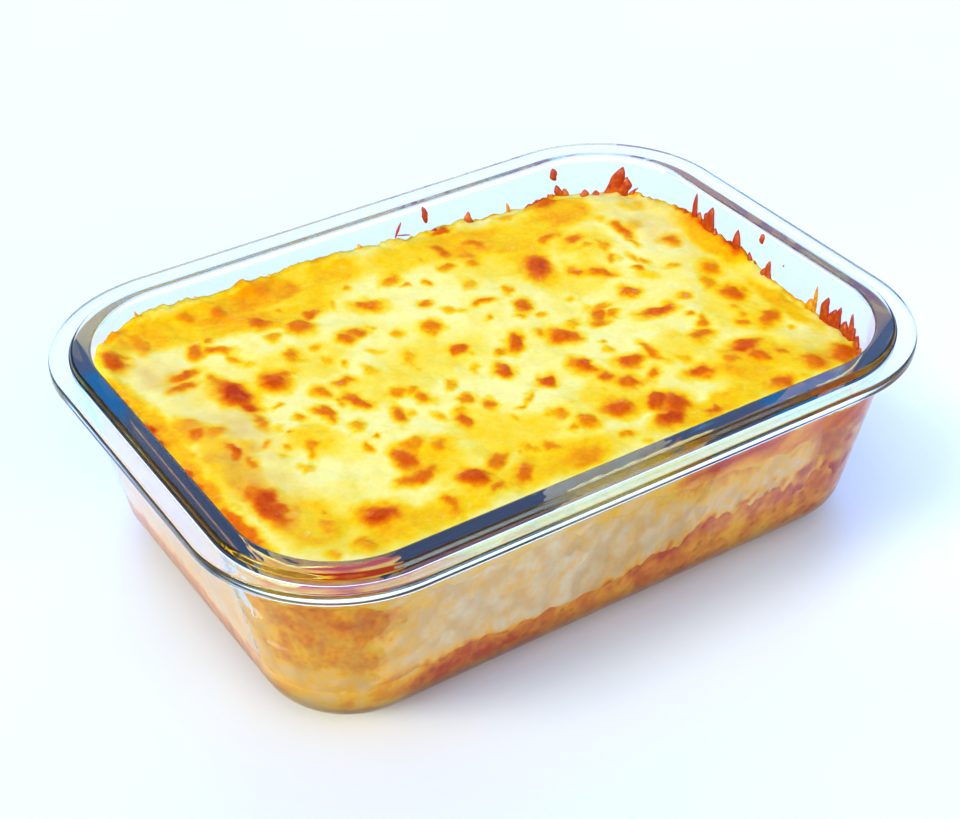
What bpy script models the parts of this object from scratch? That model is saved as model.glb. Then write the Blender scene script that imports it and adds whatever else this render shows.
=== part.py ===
"""Baked pasta in a clear rectangular glass dish.

The dish is one turned-up glass body: flat base, rounded foot, walls that lean
outward, a flange for a lid and a low lip inside it.  Three layers fill it:
meat and tomato sauce, pasta in white sauce, and browned melted cheese.

Frame: metres, +Z up, +X along the long side, origin under the middle of the base.
Every level section of the dish is a rectangle with rounded corners whose corner
centres never move, so a section is given by its corner radius alone.
"""
import math

import bmesh
import bpy
from mathutils import Vector, noise

MM = 0.001

# Driving dimensions of the dish
RIM_LENGTH = 205.0 * MM
RIM_WIDTH = 150.0 * MM
RIM_CORNER = 38.4 * MM
DISH_HEIGHT = 58.0 * MM
FLANGE_TOP = 56.8 * MM
FLANGE_THICK = 3.0 * MM
FLANGE_REACH = 5.6 * MM
FLANGE_ROUND = 0.65 * MM
FLANGE_FILLET = 0.7 * MM
LIP_WIDTH = 5.3 * MM
LIP_ROUND = 0.9 * MM
LIP_ROUND_FROM = 30
LIP_FILLET = 0.5 * MM
LIP_DEPTH = 1.5 * MM
OUTER_LEAN = 0.2086
INNER_LEAN = 0.17
FOOT_ROUND = 13.0 * MM
FLOOR_THICK = 4.5 * MM
FLOOR_ROUND = 10.0 * MM

# Driving dimensions of the food
GAP = 0.3 * MM
CHEESE_LEVEL = 48.4 * MM
CHEESE_SLOPE_X = -0.028
CHEESE_SLOPE_Y = 0.030
CHEESE_THICK = 6.6 * MM
CHEESE_LUMP = 1.2 * MM
CHEESE_LUMP_SIZE = 16.0 * MM
SMALL_LUMP = 0.6 * MM
SMALL_LUMP_SIZE = 7.3 * MM
EDGE_RAGGED = 1.1 * MM
EDGE_RAGGED_SIZE = 6.4 * MM
EDGE_RAGGED_FROM = 0.85
SAUCE_LEVEL = 16.0 * MM
SAUCE_RISE = 6.0 * MM
SAUCE_RISE_FROM = -0.015
SAUCE_RISE_TO = 0.025
SAUCE_WAVE = 1.6 * MM
SAUCE_WAVE_SIZE = 12.0 * MM
PASTA_WAVE = 0.8 * MM
PASTA_WAVE_SIZE = 13.0 * MM

# Seeds of the uneven surfaces
CHEESE_SEED = 3.1
SMALL_LUMP_SEED = 7.7
EDGE_SEED = 5.3
PASTA_SEED = 11.9
SAUCE_SEED = 17.3

# Fineness of the meshes
GLASS_ARC_STEPS = 12
GLASS_ROUND_STEPS = 3
LIP_FILLET_STEPS = 2
FOOT_STEPS = 6
FLOOR_STEPS = 5
GLASS_SHARP_ANGLE = 35
FOOD_SHARP_ANGLE = 60
WELD = 0.001 * MM
FOOD_ARC_STEPS = 6
FOOD_LONG_STEPS = 11
FOOD_SHORT_STEPS = 7
TOP_RINGS = 13
LAYER_RINGS = 7

CORNER_X = RIM_LENGTH / 2 - RIM_CORNER
CORNER_Y = RIM_WIDTH / 2 - RIM_CORNER
WALL_TOP_RADIUS = RIM_CORNER - FLANGE_REACH
LIP_INNER_RADIUS = WALL_TOP_RADIUS - LIP_WIDTH
SPINE = (RIM_LENGTH - RIM_WIDTH) / 2


def smooth_step(value, low, high):
    """Rise from 0 at low to 1 at high with level ends."""
    t = min(max((value - low) / (high - low), 0.0), 1.0)
    return t * t * (3.0 - 2.0 * t)


def arc(centre_r, centre_z, radius, start, end, steps):
    """Points of an arc in the section plane, angles in degrees."""
    points = []
    for i in range(steps + 1):
        angle = math.radians(start + (end - start) * i / steps)
        points.append((centre_r + radius * math.cos(angle), centre_z + radius * math.sin(angle)))
    return points


def outline(radius, arc_steps, long_steps, short_steps):
    """Rounded rectangle, anticlockwise, with its straight sides cut into steps."""
    points = []
    corners = ((CORNER_X, CORNER_Y, 0), (-CORNER_X, CORNER_Y, 90),
               (-CORNER_X, -CORNER_Y, 180), (CORNER_X, -CORNER_Y, 270))
    for index, (cx, cy, start) in enumerate(corners):
        for x, y in arc(cx, cy, radius, start, start + 90, arc_steps):
            points.append(Vector((x, y)))
        steps = long_steps if index % 2 == 0 else short_steps
        next_cx, next_cy, next_start = corners[(index + 1) % 4]
        angle = math.radians(next_start)
        last = points[-1].copy()
        goal = Vector((next_cx + radius * math.cos(angle), next_cy + radius * math.sin(angle)))
        for i in range(1, steps):
            points.append(last.lerp(goal, i / steps))
    return points


def inner_wall():
    """Inside of the wall from just under the lip down to the floor, as (radius, z)."""
    lean = math.degrees(math.atan(INNER_LEAN))
    centre_z = FLOOR_THICK + FLOOR_ROUND
    tangent_z = centre_z - FLOOR_ROUND * math.sin(math.radians(lean))
    tangent_r = LIP_INNER_RADIUS - INNER_LEAN * (DISH_HEIGHT - tangent_z)
    centre_r = tangent_r - FLOOR_ROUND * math.cos(math.radians(lean))
    top_z = DISH_HEIGHT - LIP_DEPTH
    top_r = LIP_INNER_RADIUS - INNER_LEAN * (DISH_HEIGHT - top_z)
    return [(top_r, top_z)] + arc(centre_r, centre_z, FLOOR_ROUND, -lean, -90, FLOOR_STEPS)


def outer_wall():
    """Outside of the wall from the base up to the flange, as (radius, z)."""
    lean = math.degrees(math.atan(OUTER_LEAN))
    under = FLANGE_TOP - FLANGE_THICK
    tangent_z = FOOT_ROUND - FOOT_ROUND * math.sin(math.radians(lean))
    tangent_r = WALL_TOP_RADIUS - OUTER_LEAN * (under - tangent_z)
    centre_r = tangent_r - FOOT_ROUND * math.cos(math.radians(lean))
    return arc(centre_r, FOOT_ROUND, FOOT_ROUND, -90, -lean, FOOT_STEPS)


def dish_section():
    """The whole glass section, up the outside, over the rim and down the inside."""
    under = FLANGE_TOP - FLANGE_THICK
    lean = math.degrees(math.atan(OUTER_LEAN))
    edge_r = RIM_CORNER - FLANGE_ROUND
    lip_z = DISH_HEIGHT - LIP_ROUND
    section = outer_wall()
    section += arc(WALL_TOP_RADIUS + FLANGE_FILLET, under - FLANGE_FILLET, FLANGE_FILLET,
                   180 - lean, 90, GLASS_ROUND_STEPS)
    section += arc(edge_r, under + FLANGE_ROUND, FLANGE_ROUND, -90, 0, GLASS_ROUND_STEPS)
    section += arc(edge_r, FLANGE_TOP - FLANGE_ROUND, FLANGE_ROUND, 0, 90, GLASS_ROUND_STEPS)
    section += arc(WALL_TOP_RADIUS + LIP_FILLET, FLANGE_TOP + LIP_FILLET, LIP_FILLET,
                   270, 180, LIP_FILLET_STEPS)
    section += arc(WALL_TOP_RADIUS - LIP_ROUND, lip_z, LIP_ROUND,
                   LIP_ROUND_FROM, 90, GLASS_ROUND_STEPS)
    section += arc(LIP_INNER_RADIUS + LIP_ROUND, lip_z, LIP_ROUND, 90, 180, GLASS_ROUND_STEPS)
    section += inner_wall()
    return section


def wall_radius(z):
    """Corner radius of the food at height z, held a gap away from the glass."""
    points = inner_wall()
    for (r_high, z_high), (r_low, z_low) in zip(points, points[1:]):
        if z >= z_low:
            share = (z - z_low) / (z_high - z_low)
            return r_low + (r_high - r_low) * share - GAP
    return points[-1][0] - GAP


def wave(x, y, size, seed):
    """Smooth seeded noise of about -1 to 1 with lumps of the given size."""
    return noise.noise(Vector((x / size, y / size, seed)))


def cheese_top(x, y, toward_edge):
    """Height of the browned cheese, lumpy inside and ragged along the glass."""
    level = CHEESE_LEVEL + CHEESE_SLOPE_X * x + CHEESE_SLOPE_Y * y
    lumps = CHEESE_LUMP * wave(x, y, CHEESE_LUMP_SIZE, CHEESE_SEED)
    lumps += SMALL_LUMP * wave(x, y, SMALL_LUMP_SIZE, SMALL_LUMP_SEED)
    ragged = EDGE_RAGGED * wave(x, y, EDGE_RAGGED_SIZE, EDGE_SEED)
    return level + lumps + ragged * smooth_step(toward_edge, EDGE_RAGGED_FROM, 1.0)


def cheese_under(x, y):
    """Height of the surface between pasta and cheese."""
    level = CHEESE_LEVEL + CHEESE_SLOPE_X * x + CHEESE_SLOPE_Y * y - CHEESE_THICK
    return level + PASTA_WAVE * wave(x, y, PASTA_WAVE_SIZE, PASTA_SEED)


def sauce_top(x, y):
    """Height of the surface between sauce and pasta, deeper toward +X."""
    level = SAUCE_LEVEL + SAUCE_RISE * smooth_step(x, SAUCE_RISE_FROM, SAUCE_RISE_TO)
    return level + SAUCE_WAVE * wave(x, y, SAUCE_WAVE_SIZE, SAUCE_SEED)


def food_outline(radius):
    return outline(radius, FOOD_ARC_STEPS, FOOD_LONG_STEPS, FOOD_SHORT_STEPS)


def toward_spine(point, share):
    """Draw an outline point in toward a short line along the middle of the dish."""
    spine_x = SPINE * min(max(point.x / CORNER_X, -1.0), 1.0)
    return spine_x + (point.x - spine_x) * share, point.y * share


def surface_rings(height, nominal_z, count, lift):
    """Rings of a height field, from the glass inward to the middle line."""
    edge = food_outline(wall_radius(nominal_z))
    rings = []
    for k in range(count + 1):
        share = 1.0 - k / count
        ring = []
        for point in edge:
            x, y = toward_spine(point, share)
            ring.append(Vector((x, y, height(x, y, share) + lift)))
        rings.append(ring)
    # the outermost ring follows the leaning wall at its own height
    fitted = []
    for index, vertex in enumerate(rings[0]):
        wall = food_outline(wall_radius(vertex.z))[index]
        fitted.append(Vector((wall.x, wall.y, vertex.z)))
    rings[0] = fitted
    return rings


def add_ring(bm, ring):
    return [bm.verts.new(point) for point in ring]


def bridge(bm, lower, upper, inward=True):
    """Triangle pairs between two rings; faces look outward when upper lies above lower.

    The diagonals of a height field run the same way on both sides of a gap, so inward
    tells whether upper is the ring nearer the middle.
    """
    count = len(lower)
    for i in range(count):
        j = (i + 1) % count
        if inward:
            bm.faces.new((lower[i], lower[j], upper[j]))
            bm.faces.new((lower[i], upper[j], upper[i]))
        else:
            bm.faces.new((lower[i], lower[j], upper[i]))
            bm.faces.new((lower[j], upper[j], upper[i]))


def make_material(name, colour, roughness, transmission=0.0):
    material = bpy.data.materials.new(name)
    material.use_nodes = True
    shader = material.node_tree.nodes["Principled BSDF"]
    shader.inputs["Base Color"].default_value = (*colour, 1.0)
    shader.inputs["Roughness"].default_value = roughness
    shader.inputs["Metallic"].default_value = 0.0
    shader.inputs["Transmission Weight"].default_value = transmission
    material.diffuse_color = (*colour, 1.0)
    return material


def make_object(name, bm, material, sharp_angle):
    bmesh.ops.recalc_face_normals(bm, faces=bm.faces)
    mesh = bpy.data.meshes.new(name)
    bm.to_mesh(mesh)
    bm.free()
    mesh.materials.append(material)
    mesh.shade_smooth()
    mesh.set_sharp_from_angle(angle=math.radians(sharp_angle))
    made = bpy.data.objects.new(name, mesh)
    bpy.context.collection.objects.link(made)
    return made


def build_dish(material):
    bm = bmesh.new()
    rings = []
    for radius, z in dish_section():
        points = outline(radius, GLASS_ARC_STEPS, 1, 1)
        rings.append(add_ring(bm, [Vector((p.x, p.y, z)) for p in points]))
    for lower, upper in zip(rings, rings[1:]):
        bridge(bm, lower, upper)
    bm.faces.new(list(reversed(rings[0])))
    bm.faces.new(rings[-1])
    return make_object("glass_dish", bm, material, GLASS_SHARP_ANGLE)


def build_layer(name, bottom, top, material):
    """Solid between two surfaces, each given as rings from the glass inward."""
    bm = bmesh.new()
    inner_to_outer = [add_ring(bm, ring) for ring in reversed(bottom)]
    outer_to_inner = [add_ring(bm, ring) for ring in top]
    for inner, outer in zip(inner_to_outer, inner_to_outer[1:]):
        bridge(bm, inner, outer, inward=False)
    bridge(bm, inner_to_outer[-1], outer_to_inner[0])
    for outer, inner in zip(outer_to_inner, outer_to_inner[1:]):
        bridge(bm, outer, inner)
    bmesh.ops.remove_doubles(bm, verts=bm.verts, dist=WELD)
    return make_object(name, bm, material, FOOD_SHARP_ANGLE)


def floor_rings():
    """The underside of the sauce: the rounded floor of the dish, then a flat middle."""
    rings = []
    for radius, z in inner_wall()[1:]:
        points = food_outline(radius - GAP)
        rings.append([Vector((p.x, p.y, z + GAP)) for p in points])
    middle = [toward_spine(p, 0.0) for p in rings[-1]]
    rings.append([Vector((x, y, FLOOR_THICK + GAP)) for x, y in middle])
    return rings


def main():
    for existing in list(bpy.data.objects):
        bpy.data.objects.remove(existing, do_unlink=True)

    glass = make_material("clear_glass", (0.95, 0.97, 0.98), 0.03, 1.0)
    sauce = make_material("tomato_meat_sauce", (0.55, 0.20, 0.05), 0.45)
    pasta = make_material("pasta_white_sauce", (0.82, 0.68, 0.42), 0.5)
    cheese = make_material("browned_cheese", (0.92, 0.74, 0.28), 0.4)

    sauce_height = SAUCE_LEVEL + SAUCE_RISE / 2
    under_height = CHEESE_LEVEL - CHEESE_THICK

    def sauce_field(x, y, share):
        return sauce_top(x, y)

    def under_field(x, y, share):
        return cheese_under(x, y)

    build_dish(glass)
    build_layer("sauce_layer", floor_rings(),
                surface_rings(sauce_field, sauce_height, LAYER_RINGS, 0.0), sauce)
    build_layer("pasta_layer", surface_rings(sauce_field, sauce_height, LAYER_RINGS, GAP),
                surface_rings(under_field, under_height, LAYER_RINGS, 0.0), pasta)
    build_layer("cheese_layer", surface_rings(under_field, under_height, LAYER_RINGS, GAP),
                surface_rings(cheese_top, CHEESE_LEVEL, TOP_RINGS, 0.0), cheese)


main()
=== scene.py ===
"""Looks of a baked pasta in a clear glass dish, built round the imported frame.

Shapes are worked out in millimetres with numpy and stored in metres.  Every level
section of the dish is a rectangle with rounded corners whose corner centres never
move, so a section is given by its corner radius alone.
"""
import math

import bpy
import numpy as np
from mathutils import Matrix, Vector


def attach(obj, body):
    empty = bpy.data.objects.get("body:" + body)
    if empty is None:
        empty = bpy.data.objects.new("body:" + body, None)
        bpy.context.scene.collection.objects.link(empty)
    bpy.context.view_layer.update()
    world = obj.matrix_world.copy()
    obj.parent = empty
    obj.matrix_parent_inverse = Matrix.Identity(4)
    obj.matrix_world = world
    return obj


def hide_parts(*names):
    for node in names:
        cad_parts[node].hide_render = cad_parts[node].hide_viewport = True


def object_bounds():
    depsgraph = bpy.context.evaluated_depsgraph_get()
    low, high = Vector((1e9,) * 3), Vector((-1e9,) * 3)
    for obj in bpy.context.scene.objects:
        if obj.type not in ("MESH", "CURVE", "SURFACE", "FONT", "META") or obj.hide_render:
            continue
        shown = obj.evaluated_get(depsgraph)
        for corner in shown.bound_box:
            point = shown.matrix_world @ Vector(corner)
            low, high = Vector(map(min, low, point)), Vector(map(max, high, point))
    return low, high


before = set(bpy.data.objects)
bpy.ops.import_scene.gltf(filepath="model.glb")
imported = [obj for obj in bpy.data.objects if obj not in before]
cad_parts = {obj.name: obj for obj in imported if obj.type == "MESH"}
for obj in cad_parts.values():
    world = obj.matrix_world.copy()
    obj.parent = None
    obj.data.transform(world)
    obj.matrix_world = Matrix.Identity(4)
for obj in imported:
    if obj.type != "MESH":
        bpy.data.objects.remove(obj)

cad_low, cad_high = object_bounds()

MM = 0.001

# The dish, as in the part's own construction
RIM_LENGTH = (cad_high.x - cad_low.x) / MM
RIM_WIDTH = (cad_high.y - cad_low.y) / MM
DISH_HEIGHT = (cad_high.z - cad_low.z) / MM
RIM_CORNER = 38.4
CORNER_X = RIM_LENGTH / 2 - RIM_CORNER
CORNER_Y = RIM_WIDTH / 2 - RIM_CORNER
SPINE = (RIM_LENGTH - RIM_WIDTH) / 2
FLANGE_TOP = 56.8
FLANGE_UNDER = 53.8
FLANGE_EDGE_ABOVE = 1.0
FLANGE_EDGE_BELOW = 0.6
FLANGE_FILLET = 0.7
WALL_TOP_RADIUS = RIM_CORNER - 5.6
LIP_INNER_RADIUS = WALL_TOP_RADIUS - 5.3
LIP_ROUND = 0.9
LIP_ROUND_FROM = 30
LIP_FILLET = 0.5
OUTER_LEAN = 0.2086
INNER_LEAN = 0.17
FOOT_ROUND = 13.0
FLOOR_THICK = 4.5
FLOOR_ROUND = 10.0

# The food
CHEESE_LEVEL = 48.4
CHEESE_SLOPE_X = -0.028
CHEESE_SLOPE_Y = 0.030
CHEESE_THICK = 5.5
SAUCE_LEVEL = 14.6
SAUCE_RISE = 5.5
LAYER_OVERLAP = 2.0
MIDDLE_INSET = 7.0

# How far the food reaches into the glass where it clings, and stands off elsewhere
INTO_GLASS = 0.25
INTO_FLOOR = 0.2
OFF_GLASS = 0.02
PASTA_SET_BACK = 0.10

# Fineness
GLASS_ARC_STEPS = 36
FOOT_STEPS = 16
FLOOR_STEPS = 14
FLANGE_EDGE_STEPS = 12
ROUND_STEPS = 8
LIP_ROUND_STEPS = 6
LIP_FILLET_STEPS = 5
PERIMETER_POINTS = 760
CHEESE_RINGS = 108
CHEESE_SIDE_ROWS = 22
PASTA_ROWS = 40
SAUCE_ROWS = 26
TONGUE_ROWS = 16
TONGUE_AROUND = 14


# ---------------------------------------------------------------- numbers

def lattice(ix, iy, iz, seed):
    """Repeatable pseudo-random value from -1 to 1 for each lattice point."""
    h = (ix * 374761393 + iy * 668265263 + iz * 1442695041 + seed * 1013904223) & 0xFFFFFFFF
    h = ((h ^ (h >> 13)) * 1274126177) & 0xFFFFFFFF
    h = h ^ (h >> 16)
    return (h & 0xFFFF) / 32767.5 - 1.0


def noise(x, y, z, seed):
    """Smooth value noise of about -1 to 1 over a unit lattice."""
    x, y, z = np.broadcast_arrays(np.asarray(x, float), y, z)
    cells = [np.floor(v).astype(np.int64) for v in (x, y, z)]
    parts = [v - c for v, c in zip((x, y, z), cells)]
    u, v, w = [p * p * p * (p * (p * 6 - 15) + 10) for p in parts]
    total = np.zeros(x.shape)
    for dx in (0, 1):
        for dy in (0, 1):
            for dz in (0, 1):
                share = (u if dx else 1 - u) * (v if dy else 1 - v) * (w if dz else 1 - w)
                total += share * lattice(cells[0] + dx, cells[1] + dy, cells[2] + dz, seed)
    return total


OCTAVE_TURN = 0.6
OCTAVE_SHIFT = 17.3


def fractal(x, y, z, size, octaves, seed):
    """Sum of noises, each half the size and half the height of the one before.

    The seed is any whole number, another one for each use.
    """
    total = 0.0
    height = 1.0
    for octave in range(octaves):
        turn = OCTAVE_TURN * (octave + 1)
        c, s = math.cos(turn), math.sin(turn)
        a, b = (c * x - s * y) / size, (s * x + c * y) / size
        total = total + height * noise(a + OCTAVE_SHIFT * octave, b, z / size, seed + octave)
        size *= 0.5
        height *= 0.5
    return total


def uneven(x, y, *rows):
    """Sum of fractals over the plane, each given as height, size, octaves and seed."""
    return sum(height * fractal(x, y, 0.0, size, octaves, seed)
               for height, size, octaves, seed in rows)


def smooth_step(value, low, high):
    t = np.clip((value - low) / (high - low), 0.0, 1.0)
    return t * t * (3.0 - 2.0 * t)


def mound(x, y, cx, cy, rx, ry, turn=0.0):
    """1 in the middle of an ellipse, falling smoothly to 0 outside it."""
    c, s = math.cos(math.radians(turn)), math.sin(math.radians(turn))
    u = ((x - cx) * c + (y - cy) * s) / rx
    v = ((y - cy) * c - (x - cx) * s) / ry
    return np.exp(-(u * u + v * v))


def on_front(y):
    """0 away from the front wall, 1 on it."""
    return smooth_step(-y, 30.0, 45.0)


def on_back(y):
    """0 away from the back wall, 1 on it."""
    return smooth_step(y, 40.0, 55.0)


def on_right(x):
    """0 away from the right wall, 1 on it."""
    return smooth_step(x, 80.0, 86.0)


# ---------------------------------------------------------------- sections

def arc(centre_r, centre_z, radius, start, end, steps, hollow=False):
    """Section points (r, z, normal_r, normal_z) along an arc of normals, in degrees."""
    points = []
    side = -1.0 if hollow else 1.0
    for i in range(steps + 1):
        angle = math.radians(start + (end - start) * i / steps)
        nr, nz = math.cos(angle), math.sin(angle)
        points.append((centre_r + side * radius * nr, centre_z + side * radius * nz, nr, nz))
    return points


def inner_wall_section():
    """Inside of the dish from the lip's inner edge to the floor, tangent throughout."""
    lean = math.atan(INNER_LEAN)
    tilt = math.degrees(lean)
    start_z = DISH_HEIGHT - LIP_ROUND + LIP_ROUND * math.sin(lean)
    wall_r = LIP_INNER_RADIUS - INNER_LEAN * (DISH_HEIGHT - start_z)
    lip_centre = wall_r + LIP_ROUND * math.cos(lean)
    section = arc(lip_centre, DISH_HEIGHT - LIP_ROUND, LIP_ROUND, 90, 180 - tilt, ROUND_STEPS)
    tangent_z = FLOOR_THICK + FLOOR_ROUND - FLOOR_ROUND * math.sin(lean)
    tangent_r = LIP_INNER_RADIUS - INNER_LEAN * (DISH_HEIGHT - tangent_z)
    centre_r = tangent_r - FLOOR_ROUND * math.cos(lean)
    section += arc(centre_r, FLOOR_THICK + FLOOR_ROUND, FLOOR_ROUND,
                   180 - tilt, 90, FLOOR_STEPS, hollow=True)
    return section


def dish_section():
    """The whole glass section: base, outer wall, flange, lip, inner wall and floor."""
    lean = math.atan(OUTER_LEAN)
    tilt = math.degrees(lean)
    foot_z = FOOT_ROUND - FOOT_ROUND * math.sin(lean)
    foot_r = WALL_TOP_RADIUS - OUTER_LEAN * (FLANGE_UNDER - foot_z)
    section = arc(foot_r - FOOT_ROUND * math.cos(lean), FOOT_ROUND, FOOT_ROUND,
                  -90, -tilt, FOOT_STEPS)
    fillet_z = FLANGE_UNDER - FLANGE_FILLET
    wall_end = fillet_z + FLANGE_FILLET * math.sin(lean)
    wall_r = WALL_TOP_RADIUS - OUTER_LEAN * (FLANGE_UNDER - wall_end)
    section += arc(wall_r + FLANGE_FILLET * math.cos(lean), fillet_z, FLANGE_FILLET,
                   -tilt, -90, ROUND_STEPS, hollow=True)
    section += arc(RIM_CORNER - FLANGE_EDGE_BELOW, FLANGE_UNDER + FLANGE_EDGE_BELOW,
                   FLANGE_EDGE_BELOW, -90, 0, ROUND_STEPS)
    section += arc(RIM_CORNER - FLANGE_EDGE_ABOVE, FLANGE_TOP - FLANGE_EDGE_ABOVE,
                   FLANGE_EDGE_ABOVE, 0, 90, FLANGE_EDGE_STEPS)
    section += arc(WALL_TOP_RADIUS + LIP_FILLET, FLANGE_TOP + LIP_FILLET, LIP_FILLET,
                   90, LIP_ROUND_FROM, LIP_FILLET_STEPS, hollow=True)
    section += arc(WALL_TOP_RADIUS - LIP_ROUND, DISH_HEIGHT - LIP_ROUND, LIP_ROUND,
                   LIP_ROUND_FROM, 90, LIP_ROUND_STEPS)
    section += inner_wall_section()
    return section


def outline(radius, arc_steps, long_steps=1, short_steps=1):
    """Rounded rectangle, anticlockwise: each point's place and outward direction."""
    rows = []
    corners = ((CORNER_X, CORNER_Y, 0), (-CORNER_X, CORNER_Y, 90),
               (-CORNER_X, -CORNER_Y, 180), (CORNER_X, -CORNER_Y, 270))
    for index, (cx, cy, start) in enumerate(corners):
        for i in range(arc_steps + 1):
            angle = math.radians(start + 90.0 * i / arc_steps)
            ox, oy = math.cos(angle), math.sin(angle)
            rows.append((cx + radius * ox, cy + radius * oy, ox, oy))
        steps = long_steps if index % 2 == 0 else short_steps
        next_cx, next_cy, next_start = corners[(index + 1) % 4]
        ox, oy = math.cos(math.radians(next_start)), math.sin(math.radians(next_start))
        x0, y0 = rows[-1][:2]
        x1, y1 = next_cx + radius * ox, next_cy + radius * oy
        for i in range(1, steps):
            t = i / steps
            rows.append((x0 + (x1 - x0) * t, y0 + (y1 - y0) * t, ox, oy))
    return np.array(rows)


WALL = np.array([(r, z) for r, z, nr, nz in inner_wall_section() if nr <= 0])[::-1]
FOOD_CORNER_RADIUS = float(np.interp(CHEESE_LEVEL, WALL[:, 1], WALL[:, 0]))
STEP = (4 * (CORNER_X + CORNER_Y) + 2 * math.pi * FOOD_CORNER_RADIUS) / PERIMETER_POINTS
ARC_STEPS = int(math.pi / 2 * FOOD_CORNER_RADIUS / STEP)
LONG_STEPS = 2 * int(CORNER_X / STEP)
SHORT_STEPS = 2 * int(CORNER_Y / STEP)


def wall_radius(z):
    """Corner radius of the inner wall at height z."""
    return np.interp(z, WALL[:, 1], WALL[:, 0])


# Where the food lies wet against the front wall: x, reach along it
FRONT_CONTACTS = [(-79, 12.5), (4, 24)]


def wetting(x, y, z):
    """1 where the food clings to the glass: low down, on the far walls and in patches."""
    low = 1.0 - smooth_step(z, 13.0, 17.0)
    right_wall = smooth_step(x, 86.0, 88.0) * smooth_step(y, -44.0, -38.0)
    back_wall = smooth_step(y, 56.0, 58.0) * smooth_step(x, -86.0, -80.0)
    right_corner = smooth_step(x + 2.0 * fractal(x, y, z, 6.0, 2, 24), 59.0, 63.0)
    before = smooth_step(-y, 33.0, 39.0)
    patchy = 0.3 * fractal(x, y, z, 4.5, 3, 20)
    wet = [low, right_wall, back_wall, right_corner]
    for cx, reach in FRONT_CONTACTS:
        near = np.exp(-((x - cx) / reach) ** 2)
        wet.append(before * smooth_step(near + patchy, 0.4, 0.65))
    return np.maximum.reduce(wet)


def wall_points(z, set_back=0.0, inset=0.0):
    """Points along the inner wall at heights z, into the glass where the food clings."""
    unit = outline(0.0, ARC_STEPS, LONG_STEPS, SHORT_STEPS)
    radius = wall_radius(z)
    cling = wetting(unit[:, 0] + radius * unit[:, 2], unit[:, 1] + radius * unit[:, 3], z)
    radius = radius - OFF_GLASS + (INTO_GLASS + OFF_GLASS) * cling - set_back - inset
    x = unit[:, 0] + radius * unit[:, 2]
    y = unit[:, 1] + radius * unit[:, 3]
    return np.stack([x, y, np.broadcast_to(z, x.shape)], axis=1)


# ---------------------------------------------------------------- meshes

def make_piece(name, points, faces, material, normals=None):
    """Smooth-shaded object from points in millimetres."""
    mesh = bpy.data.meshes.new(name)
    mesh.from_pydata((np.asarray(points) * MM).tolist(), [], faces)
    mesh.validate()
    mesh.shade_smooth()
    if normals is not None:
        mesh.normals_split_custom_set_from_vertices(normals.tolist())
    mesh.materials.append(material)
    piece = bpy.data.objects.new(name, mesh)
    bpy.context.scene.collection.objects.link(piece)
    return piece


def add_field(piece, name, values):
    """Store one number for each vertex, which the material reads."""
    field = piece.data.attributes.new(name, "FLOAT", "POINT")
    field.data.foreach_set("value", np.asarray(values, dtype=np.float32).ravel())


def ring_faces(ring_count, ring_size):
    """Quads between rings that are stored one after another."""
    faces = []
    for k in range(ring_count - 1):
        a, b = k * ring_size, (k + 1) * ring_size
        for i in range(ring_size):
            j = (i + 1) % ring_size
            faces.append((a + i, a + j, b + j, b + i))
    return faces


# ---------------------------------------------------------------- materials

def srgb(red, green, blue, alpha=1.0):
    """Linear colour of display values from 0 to 255."""
    def linear(value):
        share = value / 255.0
        return share / 12.92 if share <= 0.04045 else ((share + 0.055) / 1.055) ** 2.4
    return (linear(red), linear(green), linear(blue), alpha)


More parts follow.
